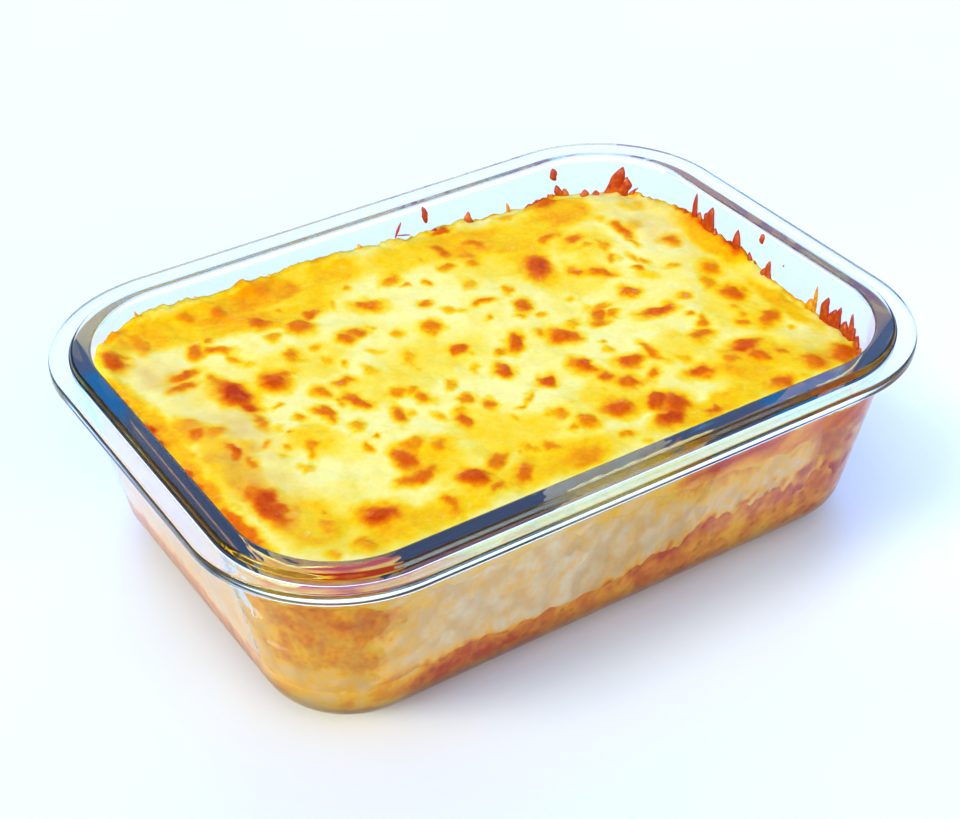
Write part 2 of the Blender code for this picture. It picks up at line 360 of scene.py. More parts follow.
class Material:
    """A material's node tree with short ways to add nodes to it."""

    def __init__(self, name):
        self.material = bpy.data.materials.new(name)
        self.material.use_nodes = True
        self.tree = self.material.node_tree
        self.shader = self.tree.nodes["Principled BSDF"]
        self.output = self.tree.nodes["Material Output"]

    def add(self, kind, inputs=None, **settings):
        node = self.tree.nodes.new(kind)
        for key, value in settings.items():
            setattr(node, key, value)
        for key, value in (inputs or {}).items():
            self.put(node.inputs[key], value)
        return node

    def put(self, socket, value):
        """Link a socket to another one, or give it a plain value."""
        if isinstance(value, bpy.types.NodeSocket):
            self.tree.links.new(value, socket)
        else:
            socket.default_value = value

    def set(self, **inputs):
        for key, value in inputs.items():
            self.put(self.shader.inputs[key.replace("_", " ")], value)

    def field(self, name):
        return self.add("ShaderNodeAttribute", attribute_name=name).outputs["Fac"]

    def place(self, stretch=(1.0, 1.0, 1.0)):
        """Object coordinates in millimetres, stretched along the axes."""
        source = self.add("ShaderNodeTexCoord").outputs["Object"]
        scale = tuple(s / MM for s in stretch)
        return self.add("ShaderNodeMapping", {"Vector": source, "Scale": scale}).outputs["Vector"]

    def noise(self, place, size, detail=3.0, roughness=0.5):
        inputs = {"Vector": place, "Scale": 1.0 / size, "Detail": detail, "Roughness": roughness}
        return self.add("ShaderNodeTexNoise", inputs).outputs["Fac"]

    def cells(self, place, size, feature="F1"):
        inputs = {"Vector": place, "Scale": 1.0 / size}
        return self.add("ShaderNodeTexVoronoi", inputs, feature=feature).outputs["Distance"]

    def math(self, operation, a, b=0.0, clamp=False):
        node = self.add("ShaderNodeMath", operation=operation, use_clamp=clamp)
        self.put(node.inputs[0], a)
        self.put(node.inputs[1], b)
        return node.outputs[0]

    def spread(self, value, low, high, to_low=0.0, to_high=1.0):
        """Map low to to_low and high to to_high, with level ends."""
        inputs = {"Value": value, "From Min": low, "From Max": high,
                  "To Min": to_low, "To Max": to_high}
        return self.add("ShaderNodeMapRange", inputs, interpolation_type="SMOOTHSTEP").outputs[0]

    def ramp(self, value, stops):
        node = self.add("ShaderNodeValToRGB", {"Fac": value})
        elements = node.color_ramp.elements
        while len(elements) < len(stops):
            elements.new(1.0)
        for element, (position, colour) in zip(elements, stops):
            element.position = position
            element.color = colour
        return node.outputs["Color"]

    def mix(self, share, a, b):
        node = self.add("ShaderNodeMix", data_type="RGBA")
        self.put(node.inputs[0], share)
        self.put(node.inputs[6], a)
        self.put(node.inputs[7], b)
        return node.outputs[2]

    def bump(self, height, distance, strength=1.0, normal=None):
        inputs = {"Height": height, "Distance": distance * MM, "Strength": strength}
        if normal is not None:
            inputs["Normal"] = normal
        return self.add("ShaderNodeBump", inputs).outputs["Normal"]


# Cool tint of the glass, which deepens with the light's way through it in metres
GLASS_TINT = (0.42, 0.62, 0.74, 1.0)
GLASS_DENSITY = 38.0


def clear_glass():
    """Pressed glass, which lets lamps through so that the food behind it is lit."""
    m = Material("clear_glass_looks")
    place = m.place()
    wobble = m.noise(place, 26.0, 1.0)
    m.set(Base_Color=(1.0, 1.0, 1.0, 1.0), Roughness=0.03, IOR=1.47, Transmission_Weight=1.0,
          Specular_Tint=(0.5, 0.5, 0.5, 1.0), Normal=m.bump(wobble, 0.2, 0.4))
    lamp = m.add("ShaderNodeBsdfTransparent", {"Color": (1.0, 1.0, 1.0, 1.0)})
    is_shadow = m.add("ShaderNodeLightPath").outputs["Is Shadow Ray"]
    both = m.add("ShaderNodeMixShader", {0: is_shadow, 1: m.shader.outputs[0], 2: lamp.outputs[0]})
    m.tree.links.new(both.outputs[0], m.output.inputs["Surface"])
    tint = m.add("ShaderNodeVolumeAbsorption", {"Color": GLASS_TINT, "Density": GLASS_DENSITY})
    m.tree.links.new(tint.outputs[0], m.output.inputs["Volume"])
    return m.material


# Colours of the open cheese, and of food behind glass, from pale to burnt. The side colours are
# brighter than the top's: painted light that makes up for the dimmer light on food behind glass
TOAST_STOPS = [
    (0.00, srgb(221, 215, 143)),
    (0.22, srgb(220, 203, 84)),
    (0.42, srgb(222, 188, 14)),
    (0.58, srgb(218, 156, 0)),
    (0.72, srgb(206, 122, 0)),
    (0.86, srgb(195, 90, 2)),
    (1.00, srgb(170, 56, 5)),
]
SIDE_STOPS = [
    (0.00, srgb(244, 222, 186)),
    (0.18, srgb(246, 206, 140)),
    (0.38, srgb(255, 198, 44)),
    (0.54, srgb(246, 160, 4)),
    (0.70, srgb(228, 126, 0)),
    (0.85, srgb(212, 84, 0)),
    (1.00, srgb(196, 50, 0)),
]


def browned_cheese():
    """Melted cheese: toasted by the field, finely mottled, with small wet glints. Its side against
    the glass takes the brighter side colours, painted light for the dimmer light there.
    """
    m = Material("browned_cheese_looks")
    place = m.place()
    toast = m.field("toast")
    fine = m.spread(m.noise(place, 1.3, 3.0, 0.6), 0.3, 0.7, -0.03, 0.03)
    blotch = m.spread(m.noise(place, 5.0, 3.0, 0.55), 0.3, 0.7, -0.05, 0.05)
    shade = m.math("ADD", toast, m.math("ADD", fine, blotch), clamp=True)
    colour = m.ramp(shade, TOAST_STOPS)
    colour = m.mix(m.field("tan"), colour, srgb(196, 160, 92))
    # The side against the glass turns to the brighter side colours: painted light for the dimmer
    # light on the sides
    colour = m.mix(m.field("brightened_side"), colour, m.ramp(shade, SIDE_STOPS))
    grain = m.noise(place, 1.2, 3.0, 0.55)
    lumps = m.noise(place, 4.5, 2.0, 0.5)
    relief = m.bump(grain, 0.22, 0.5, m.bump(lumps, 0.6, 0.5))
    wet = m.spread(m.noise(place, 2.4, 2.0, 0.5), 0.62, 0.74, 0.0, 0.3)
    m.set(Base_Color=colour, Roughness=0.5, Normal=relief, IOR=1.45, Coat_Weight=wet,
          Coat_Roughness=0.12, Specular_IOR_Level=0.03)
    m.set(Subsurface_Weight=0.2, Subsurface_Radius=(1.0, 0.7, 0.25), Subsurface_Scale=2.5 * MM)
    return m.material


def pasta_in_white_sauce():
    """Pasta tubes in white sauce: creamy, golden where the oil has reached it."""
    m = Material("pasta_white_sauce_looks")
    place = m.place((1.0, 1.0, 0.75))
    patch = m.spread(m.noise(place, 5.0, 3.0, 0.55), 0.32, 0.68, -0.09, 0.10)
    speck = m.spread(m.noise(place, 1.7, 3.0, 0.6), 0.3, 0.72, -0.06, 0.08)
    shade = m.math("ADD", m.field("warm"), m.math("ADD", patch, speck), clamp=True)
    colour = m.ramp(shade, SIDE_STOPS)
    tubes = m.spread(m.cells(place, 4.6, "SMOOTH_F1"), 0.34, 0.62, 0.0, 0.32)
    colour = m.mix(tubes, colour, srgb(214, 160, 84))
    pale = m.spread(m.noise(place, 8.0, 2.0), 0.55, 0.72, 0.0, 0.45)
    pale = m.math("MULTIPLY", pale, m.spread(m.field("warm"), 0.1, 0.35, 1.0, 0.0))
    colour = m.mix(pale, colour, srgb(226, 216, 184))
    relief = m.bump(m.noise(place, 2.0, 3.0), 0.3, 0.5)
    m.set(Base_Color=colour, Roughness=0.45, Normal=relief, Specular_IOR_Level=0.2)
    return m.material


def tomato_meat_sauce():
    """Tomato meat sauce: orange oil with darker crumbs of meat."""
    m = Material("tomato_meat_sauce_looks")
    place = m.place((1.0, 1.0, 0.85))
    patch = m.spread(m.noise(place, 5.0, 4.0, 0.6), 0.3, 0.7, -0.13, 0.13)
    shade = m.math("ADD", m.field("warm"), patch, clamp=True)
    colour = m.ramp(shade, SIDE_STOPS)
    crumbs = m.spread(m.cells(place, 3.2), 0.12, 0.4, 0.42, 0.0)
    crumbs = m.math("MULTIPLY", crumbs, m.spread(m.field("warm"), 0.42, 0.6))
    colour = m.mix(crumbs, colour, srgb(162, 72, 26))
    relief = m.bump(m.noise(place, 2.5, 3.0), 0.3, 0.5)
    m.set(Base_Color=colour, Roughness=0.35, Normal=relief, Specular_IOR_Level=0.25)
    return m.material


def burnt_cheese():
    """Dark, slightly glossy cheese of the tongues and splashes."""
    m = Material("burnt_cheese_looks")
    place = m.place()
    speck = m.spread(m.noise(place, 1.5, 3.0), 0.3, 0.7, -0.12, 0.12)
    shade = m.math("ADD", m.field("toast"), speck, clamp=True)
    m.set(Base_Color=m.ramp(shade, TOAST_STOPS), Roughness=0.3,
          Normal=m.bump(m.noise(place, 0.8, 3.0), 0.15, 0.5))
    return m.material


def pale_floor():
    """Plain pale floor in two very close tones."""
    m = Material("pale_floor")
    cloud = m.spread(m.noise(m.place(), 140.0, 2.0), 0.3, 0.7)
    tone = m.mix(cloud, (0.685, 0.783, 0.96, 1.0), (0.70, 0.793, 0.965, 1.0))
    m.set(Base_Color=tone, Roughness=0.6, Specular_IOR_Level=0.2)
    return m.material


# ---------------------------------------------------------------- glass dish

def build_dish():
    """The section swept round the outline, with the section's own normals."""
    section = dish_section()
    outer = outline(0.0, GLASS_ARC_STEPS)
    rings, normals = [], []
    for r, z, nr, nz in section:
        rings.append(np.stack([outer[:, 0] + r * outer[:, 2], outer[:, 1] + r * outer[:, 3],
                               np.full(len(outer), z)], axis=1))
        normals.append(np.stack([nr * outer[:, 2], nr * outer[:, 3],
                                 np.full(len(outer), nz)], axis=1))
    size = len(outer)
    faces = ring_faces(len(rings), size)
    faces.append(tuple(reversed(range(size))))
    last = (len(rings) - 1) * size
    faces.append(tuple(range(last, last + size)))
    return make_piece("clear_dish", np.concatenate(rings), faces, clear_glass(),
                      np.concatenate(normals))


# ---------------------------------------------------------------- cheese

# Broad golden zones of the cheese: x, y, reach along x, reach across, turn, toast
ZONES = [
    (-70, 54, 15, 8, 0, 0.52), (-47, 55, 22, 8, 0, 0.54), (-34, 55, 11, 7, 0, 0.62),
    (-18, 56, 14, 8, 0, 0.46), (-32, 46, 15, 7, 0, 0.46), (-56, 48, 14, 7, 0, 0.48),
    (-45, 46, 7, 6, 0, 0.52), (8, 53, 14, 8, 10, 0.44), (26, 50, 14, 9, 0, 0.47),
    (42, 46, 14, 10, 0, 0.48), (60, 52, 12, 9, 0, 0.55), (56, 34, 9, 8, 0, 0.36),
    (-55, -8, 6, 7, 0, 0.44), (-12, -33, 15, 8, 0, 0.36), (-72, -36, 10, 11, 0, 0.50),
    (-78, -6, 6, 17, 0, 0.50), (-46, -48, 22, 6, 0, 0.46), (-10, -46, 20, 7, 0, 0.50),
    (-3, -48, 6, 4, 0, 0.62), (40, -48, 26, 5, 0, 0.50), (60, -38, 15, 11, 0, 0.44),
    (72, -16, 10, 14, 0, 0.33), (85, -20, 3, 16, 0, 0.48), (-81, 12, 4.0, 6, 0, 0.62),
    (-90, 8, 2.7, 36, 0, 0.88), (-87, -32, 3, 16, 0, 0.80), (-87, 4, 3.5, 40, 0, 0.56),
    (-17, -23, 9, 7, 0, 0.33), (-75, -61, 9, 4, 0, 0.82), (-62, -61, 10, 3.5, 0, 0.80),
    (-42, 22, 14, 8, 0, 0.30), (-10, 8, 16, 10, 0, 0.26), (87, 16, 4, 16, 0, 0.52),
    (45, 20, 12, 8, 0, 0.32), (30, 36, 14, 8, 0, 0.34), (-30, 2, 14, 8, 0, 0.26),
    (20, -30, 14, 9, 0, 0.34), (-36, -30, 9, 9, 0, 0.42), (48, -22, 12, 7, 0, 0.30),
]

# Browned spots that stand out: x, y, half size along x and across, turn, toast
SPOTS = [
    (-75, 51, 2.5, 5, 0, 0.68), (-59, 56, 2.8, 2.4, 0, 0.68), (-50, 54, 2.5, 3, 0, 0.70),
    (-36, 58, 5.5, 4, 0, 0.64), (-84, 46, 2.5, 4, 0, 0.86), (-44, 43.5, 3.8, 2.4, -45, 0.85),
    (-30, 41, 2, 2.8, -25, 0.80), (-35, 36, 3.3, 3.6, 0, 0.78), (-44, 35, 2, 2, 0, 0.62),
    (-64, 40, 3.2, 2.2, 50, 0.76), (-59, 37, 3, 1.8, -30, 0.74), (-72, 32, 4.2, 1.9, 5, 0.82),
    (-74, 27, 3.5, 1.6, 0, 0.77), (-64, 18, 3.2, 6, 15, 0.98), (-66, 26, 1.3, 2.5, 0, 0.70),
    (-62, 11, 2.4, 2, 0, 0.90), (-63, 5, 1.6, 3.5, 0, 0.68), (-53, 17.5, 3.8, 3.6, 30, 0.90),
    (-48.5, 19, 3, 1.4, 10, 0.72), (-43.5, 25, 1.7, 3.4, -20, 0.66),
    (-36, 26, 1.3, 1.3, 0, 0.60), (-27.5, 25.5, 2.2, 2, 0, 0.72), (-23.5, 27, 2.5, 2, 0, 0.76),
    (-18.5, 28, 1.3, 1.2, 0, 0.60), (-55, 28, 1.8, 1.6, 0, 0.50),
    (-13.5, 37.5, 3.4, 2.7, -30, 0.78), (-15.5, 47.5, 1.4, 1.4, 0, 0.60),
    (-2, 45.5, 2.8, 2.2, 0, 0.66), (0, 30, 2, 1.9, 0, 0.72), (-4.5, 19.5, 3, 2.6, 0, 0.76),
    (-44, 8.5, 2.1, 2.7, 0, 0.74), (-36.5, 10, 3, 2, 10, 0.70), (-28, 11, 1.3, 2.4, 0, 0.56),
    (-16.5, 10, 1.3, 4, -30, 0.54), (-4, 7, 1.7, 2, 0, 0.84), (-80.5, 8, 2.4, 2.2, 0, 0.80),
    (-76, 6, 3, 2.5, 0, 0.64), (-54.5, 1.5, 1.7, 1.6, 0, 0.60), (-48, -0.5, 1.8, 3.9, 15, 0.80),
    (-38.5, 0, 2, 3.6, 0, 0.82), (-28.5, -1, 2.2, 2, 0, 0.70), (18, 50, 2, 3.2, 10, 0.78),
    (28.5, 50, 2.2, 3.3, 20, 0.72), (22.5, 46, 1.8, 2, 0, 0.62),
    (22.5, 41.5, 2.2, 1.8, 0, 0.64), (14.5, 42, 1.7, 2, 0, 0.66), (33, 42, 2, 2, 0, 0.56),
    (48.5, 42, 3.2, 1.8, 15, 0.72), (54, 37, 3.8, 2, 15, 0.76),
    (37.5, 30.5, 3.4, 6.8, -30, 0.92), (55.5, 32, 1.7, 1.5, 0, 0.64),
    (59.5, 30.5, 1.2, 4, 0, 0.62), (70.5, 34.5, 2.2, 4, 0, 0.80), (69, 28, 1.3, 2.2, 0, 0.68),
    (45.5, 23.5, 2, 2.8, -15, 0.78), (51, 18.5, 4.4, 2.2, -40, 0.76),
    (78, 23.5, 2.8, 2.6, 0, 0.74), (66, 19, 1.5, 1.5, 0, 0.60), (22.5, 16, 2.5, 3.3, -15, 0.78),
    (13.5, 21.7, 2.2, 1.7, 0, 0.72), (22.5, 24, 2.3, 1.1, 25, 0.60),
    (5, 23, 2.5, 1.2, -40, 0.58), (25, 9, 1.4, 1.2, 0, 0.62), (36, 12, 1.2, 1.2, 0, 0.54),
    (52, 7, 2.6, 2.5, 0, 0.82), (70, 10.8, 2, 1, 0, 0.54), (11, 2, 2, 4, -40, 0.88),
    (5.5, 1, 2.4, 1.6, 35, 0.68), (38, 3.5, 2.2, 3.2, -10, 0.78), (41.5, 0.8, 2, 1.6, 0, 0.70),
    (79.5, 5.5, 3, 3.4, -35, 0.70), (75, 0, 2, 3, -35, 0.62), (68, 43, 1.8, 1.8, 0, 0.48),
    (60, 59, 4, 2, 0, 0.82), (45, 58, 3, 1.5, 0, 0.54), (24, 60.5, 3.4, 1.5, 0, 0.84),
    (90, 24, 2, 6, 0, 0.74), (90, 8, 2, 6, 0, 0.80), (-75, -2.5, 1.6, 3.2, -5, 0.84),
    (-72.5, -8.5, 1.3, 2.8, -10, 0.72), (-78, -7.4, 2, 1.5, 0, 0.54),
    (-44, -8.7, 1.6, 1.6, 0, 0.58), (-33, -10, 1.8, 4, -12, 0.80), (-23, -7, 2, 3, 15, 0.70),
    (-14.5, -5.5, 2, 1.2, 45, 0.60), (-58, -11, 1.3, 3.2, -25, 0.68),
    (-14, -13, 1.7, 1.9, 0, 0.68), (-10, -17.5, 1.4, 2.7, 0, 0.74),
    (-19.5, -20, 2.1, 2.8, -15, 0.82), (-24, -16, 1.2, 1.8, 0, 0.58),
    (-77.5, -25, 3.2, 8.6, -3, 0.94), (-40.5, -26, 2.6, 4.2, -5, 0.86),
    (-36, -23, 3, 2, 30, 0.64), (-30.5, -26, 2.6, 2.4, 20, 0.72),
    (-41.5, -33.8, 5, 2.4, 10, 0.80), (-56.5, -41.5, 4.9, 4, -10, 0.96),
    (-31, -41, 3.7, 3.3, 0, 0.92), (-22, -38, 3.5, 1.8, 40, 0.76),
    (-18, -44.5, 3.6, 2.2, 40, 0.80), (-40.5, -45.5, 1.7, 2.6, 0, 0.78),
    (-27, -47, 2.6, 1.6, 0, 0.74), (-65, -48.5, 3, 3, 0, 0.64), (-63, -16.8, 2, 1.5, 0, 0.54),
    (-8, -25.5, 1, 1.5, 0, 0.50), (0.5, -7, 2.6, 2.9, 0, 0.84), (23.5, -2, 3.8, 3.4, -30, 0.84),
    (36, -0.5, 3, 2, 0, 0.70), (53, -5, 5.2, 2.6, -5, 0.84), (64, -2.5, 2, 1.5, 0, 0.62),
    (77.5, -7, 3.2, 3.8, 0, 0.80), (7.5, -16.5, 3, 2.4, 45, 0.86),
    (-0.6, -20.5, 2.5, 1, 30, 0.62), (19, -16, 2.6, 3.6, 0, 0.86), (22, -23, 2, 3.2, 20, 0.76),
    (26, -28, 2.6, 2.8, -20, 0.80), (31.5, -20.8, 4, 3, -10, 0.86),
    (39, -20, 1.6, 4.4, 0, 0.72), (34, -28.3, 2.6, 1.5, 30, 0.70), (43.8, -26, 1.5, 3, 0, 0.50),
    (56, -20.3, 3, 2.1, 5, 0.78), (60.5, -15.5, 1.3, 3, -40, 0.68),
    (69.5, -20.5, 2.3, 2.2, 0, 0.72), (73, -17.4, 1.5, 1.5, 0, 0.60),
    (77, -23, 4.8, 2.4, 35, 0.80), (2, -30.5, 1.6, 2, 0, 0.68), (5.5, -37, 2.9, 2.8, 20, 0.70),
    (17, -36, 4, 3.6, -10, 0.90), (27, -38.5, 3, 3, 0, 0.88), (25, -46.5, 4.4, 3, 10, 0.92),
    (30.5, -42.5, 3.4, 4.6, -30, 0.86), (44.7, -34, 4, 2.6, 5, 0.88),
    (62, -30.5, 5, 2.7, -3, 0.92), (62.8, -36, 2.6, 3, 0, 0.78), (55.3, -34.6, 2.5, 2, 0, 0.70),
    (52.5, -38, 2, 1.5, 0, 0.60), (68.8, -38, 1.3, 2.2, 0, 0.68),
    (73.3, -45.6, 3.8, 3.4, 0, 0.80), (60, -49, 3.4, 2.4, 0, 0.82),
    (37.5, -49, 2.6, 1.5, 40, 0.76), (82, -8.6, 1, 1.5, 0, 0.62), (82, -48, 4, 4, 0, 0.84),
]
SCATTERED_SPOTS = 110
SCATTERED_CLEARANCE = 1.5

# A spot's browning and the golden ring round it, as shares of its half size
SPOT_CORE = (0.4, 1.3)
SPOT_RING = (0.9, 2.0)
SPOT_REACH = 3.2
SPOT_LIFT = 0.16


def warped(x, y):
    """Coordinates with a little unevenness, so that spots aren't plain ellipses."""
    wx = uneven(x, y, (1.1, 5.0, 2, 40), (0.5, 1.7, 2, 42))
    wy = uneven(x, y, (1.1, 5.0, 2, 50), (0.5, 1.7, 2, 52))
    return x + wx, y + wy


def all_spots():
    """The named spots and small ones strewn between them."""
    rng = np.random.default_rng(11)
    spots = list(SPOTS)
    for _ in range(SCATTERED_SPOTS):
        x, y = rng.uniform(-82, 84), rng.uniform(-52, 54)
        size = rng.uniform(0.7, 1.7)
        toast = rng.uniform(0.42, 0.72)
        near = min(math.hypot(x - s[0], y - s[1]) - s[2] for s in spots)
        if near > SCATTERED_CLEARANCE:
            spots.append((x, y, size * rng.uniform(1.0, 1.6), size, rng.uniform(0, 180), toast))
    return spots


def toast_field(x, y):
    """How browned the top is, from 0 pale to 1 burnt, and how much spots stand up."""
    wx, wy = warped(x, y)
    field = 0.06 + uneven(x, y, (0.06, 22.0, 2, 60))
    for cx, cy, rx, ry, turn, toast in ZONES:
        share = smooth_step(mound(wx, wy, cx, cy, rx, ry, turn), 0.12, 0.75)
        field = field + np.clip(toast - field, 0, None) * share
    field = field + uneven(x, y, (0.07, 10.0, 3, 64))
    lift = np.zeros(x.shape)
    for cx, cy, rx, ry, turn, toast in all_spots():
        reach = SPOT_REACH * max(rx, ry)
        near = (abs(wx - cx) < reach) & (abs(wy - cy) < reach)
        c, s = math.cos(math.radians(turn)), math.sin(math.radians(turn))
        u = ((wx[near] - cx) * c + (wy[near] - cy) * s) / rx
        v = ((wy[near] - cy) * c - (wx[near] - cx) * s) / ry
        d = np.sqrt(u * u + v * v)
        core = 1.0 - smooth_step(d, *SPOT_CORE)
        ring = 1.0 - smooth_step(d, *SPOT_RING)
        old = field[near]
        new = old + np.clip(0.50 * toast + 0.09 - old, 0, None) * ring
        new = new + np.clip(toast - new, 0, None) * core
        field[near] = np.maximum(old, new)
        raised = SPOT_LIFT * min(rx, ry) * (1.0 - smooth_step(d, 0.2, 1.25))
        lift[near] = np.maximum(lift[near], raised)
    return np.clip(field, 0.0, 1.0), lift


# Where the cheese climbs or sags along the glass: x, y, reach, rise
EDGE_RISES = [
    (-86, 50, 14, 1.6), (-66, 62, 14, 0.6), (-24, 62, 18, 1.2), (48, 62, 16, -2.0),
    (76, 58, 12, -2.4), (90, 24, 18, 2.4), (90, 0, 16, 1.6), (88, -44, 10, 0.8),
    (14, 62, 9, -0.7), (-74, -62, 10, 3.6), (-62, -61, 12, 3.2),
]


def cheese_level(x, y):
    """Even, slightly tilted height of the cheese."""
    return CHEESE_LEVEL + CHEESE_SLOPE_X * x + CHEESE_SLOPE_Y * y


def cheese_height(x, y, share):
    """Height of the cheese: lumpy inside, ragged and clinging where share nears 1."""
    lumps = uneven(x, y, (0.55, 26.0, 2, 3), (0.42, 9.0, 2, 5), (0.12, 2.6, 3, 9))
    at_glass = 0.3 + uneven(x, y, (0.5, 7.0, 2, 13), (0.6, 2.0, 2, 15))
    for cx, cy, reach, rise in EDGE_RISES:
        at_glass = at_glass + rise * mound(x, y, cx, cy, reach, reach)
    return cheese_level(x, y) + lumps + at_glass * smooth_step(share, 0.90, 1.0)


def build_cheese():
    """Top surface in rings from the glass to the middle line, side and underside."""
    unit = outline(0.0, ARC_STEPS, LONG_STEPS, SHORT_STEPS)
    size = len(unit)
    edge_x = unit[:, 0] + FOOD_CORNER_RADIUS * unit[:, 2]
    edge_y = unit[:, 1] + FOOD_CORNER_RADIUS * unit[:, 3]
    spine_x = SPINE * np.clip(edge_x / CORNER_X, -1, 1)
    shares = 1.0 - (np.arange(CHEESE_RINGS) / CHEESE_RINGS) ** 1.02
    x = spine_x + (edge_x - spine_x) * shares[:, None]
    y = edge_y * shares[:, None]
    share = np.broadcast_to(shares[:, None], x.shape)
    toast, lift = toast_field(x, y)
    z = cheese_height(x, y, share) + lift
    top = np.stack([x, y, z], axis=2)
    top[0] = wall_points(z[0])

    low = cheese_hem(edge_x, edge_y)
    side = [wall_points(low - 1.0, inset=MIDDLE_INSET)]
    for row in range(CHEESE_SIDE_ROWS, 0, -1):
        side.append(wall_points(z[0] + (low - z[0]) * row / CHEESE_SIDE_ROWS))
    rings = side + list(top)
    faces = ring_faces(len(rings), size)
    faces.append(tuple(reversed(range(size))))
    faces += closing_strip(size, (len(rings) - 1) * size)

    points = np.concatenate(rings)
    side_points = np.concatenate(side)
    side_toast = cheese_side(side_points)
    toast = np.clip(toast + far_crust(x, y, share), 0, 1)
    piece = make_piece("melted_cheese", points, faces, browned_cheese())
    add_field(piece, "toast", np.concatenate([side_toast, toast.ravel()]))
    tan = tan_field(x, y) * (1.0 - smooth_step(toast, 0.5, 0.75))
    add_field(piece, "tan", np.concatenate([np.zeros(len(side_toast)), tan.ravel()]))
    # 1 on the side rows, whose colours are painted brighter to make up for the dimmer light there
    brightened_side = np.zeros(len(points))
    brightened_side[:len(side_toast)] = 1.0
    add_field(piece, "brightened_side", brightened_side)
    return piece


def closing_strip(size, first):
    """Faces that close the innermost ring, which starts at first, across the middle line."""
    start = size - SHORT_STEPS // 2
    order = [first + (start + i) % size for i in range(size)]
    faces = [(order[0], order[1], order[-1])]
    for i in range(1, size // 2 - 1):
        faces.append((order[i], order[i + 1], order[-(i + 1)], order[-i]))
    middle = size // 2
    faces.append((order[middle - 1], order[middle], order[middle + 1]))
    return faces


def far_crust(x, y, share):
    """Thin darker edge where the cheese meets the back and right walls."""
    line = smooth_step(share, 0.972, 0.992)
    back = smooth_step(y, 52.0, 58.0)
    far = np.clip(back * smooth_step(x, 20.0, 50.0) + on_right(x), 0, 1)
    patchy = smooth_step(fractal(x, y, 0.0, 6.0, 2, 75), -0.5, 0.3)
    return line * (0.5 * far * patchy + 0.18 * back)


# Dry tan patches of the cheese: x, y, reach along x, reach across, share
TAN_PATCHES = [
    (-78, 38, 6, 9, 0.75), (-70, 6, 9, 16, 0.35), (80, 34, 11, 16, 0.40), (79, -42, 7, 6, 0.35),
    (-75, -12, 8, 26, 0.4),
]


def tan_field(x, y):
    """How dry and tan the cheese is, near its left end and its right edge."""
    tan = sum(share * mound(x, y, cx, cy, rx, ry) for cx, cy, rx, ry, share in TAN_PATCHES)
    return np.clip(tan * (0.75 + uneven(x, y, (0.5, 6.0, 2, 70))), 0, 0.8)


def cheese_hem(x, y):
    """Height along the glass where the cheese ends and the pasta begins."""
    wave = uneven(x, y, (1.6, 12.0, 2, 80), (1.1, 3.2, 2, 84))
    return cheese_level(x, y) - CHEESE_THICK + wave - 2.5 * mound(x, y, 32, -60, 26, 20)


# Warmer and paler patches on the front wall: x, z, reach along x, reach up, turn, change
CHEESE_PATCHES = [(35, 41.0, 28, 4.4, 0, 0.38), (30, 43.6, 15, 2.0, 1.5, 0.56)]
PASTA_PATCHES = [
    (-70, 24, 12, 3, 0, 0.10), (-70, 38, 14, 5, 0, 0.26), (-78, 17, 12, 7, 0, -0.20),
    (-62, 26, 8, 6, 0, -0.12), (36, 35.5, 30, 4.5, 0, 0.26), (32, 40.5, 26, 3.4, 0, 0.40),
    (58, 31, 3.5, 5, 0, -0.40),
]
SAUCE_PATCHES = [(-50, 10, 18, 3.5, 4, 0.30), (16, 18, 12, 4, 0, 0.16)]


def front_patches(x, y, z, patches):
    """Sum of the changes that the patches make where the front wall is."""
    total = sum(change * mound(x, z, cx, cz, rx, rz, turn)
                for cx, cz, rx, rz, turn, change in patches)
    return total * on_front(y)


def cheese_side(points):
    """Toast of the cheese where it lies against the glass, on the side colours' scale."""
    x, y, z = points[:, 0], points[:, 1], points[:, 2]
    left_corner = mound(x, y, -86, -60, 24, 22)
    right_corner = mound(x, y, 82, -62, 30, 18)
    climbing = smooth_step(z, 49.5, 51.5) * smooth_step(-x, 40.0, 50.0) * on_front(y)
    toast = 0.20 + 0.12 * fractal(x, y, z, 7.0, 3, 90) + front_patches(x, y, z, CHEESE_PATCHES)
    toast = toast + left_corner * (0.36 + 0.18 * fractal(x, y, z, 4.0, 2, 92))
    toast = toast + 0.54 * right_corner + 0.40 * on_right(x) * (1.0 - right_corner)
    toast = toast + 0.62 * climbing + 0.12 * on_back(y)
    return np.clip(toast, 0, 1)


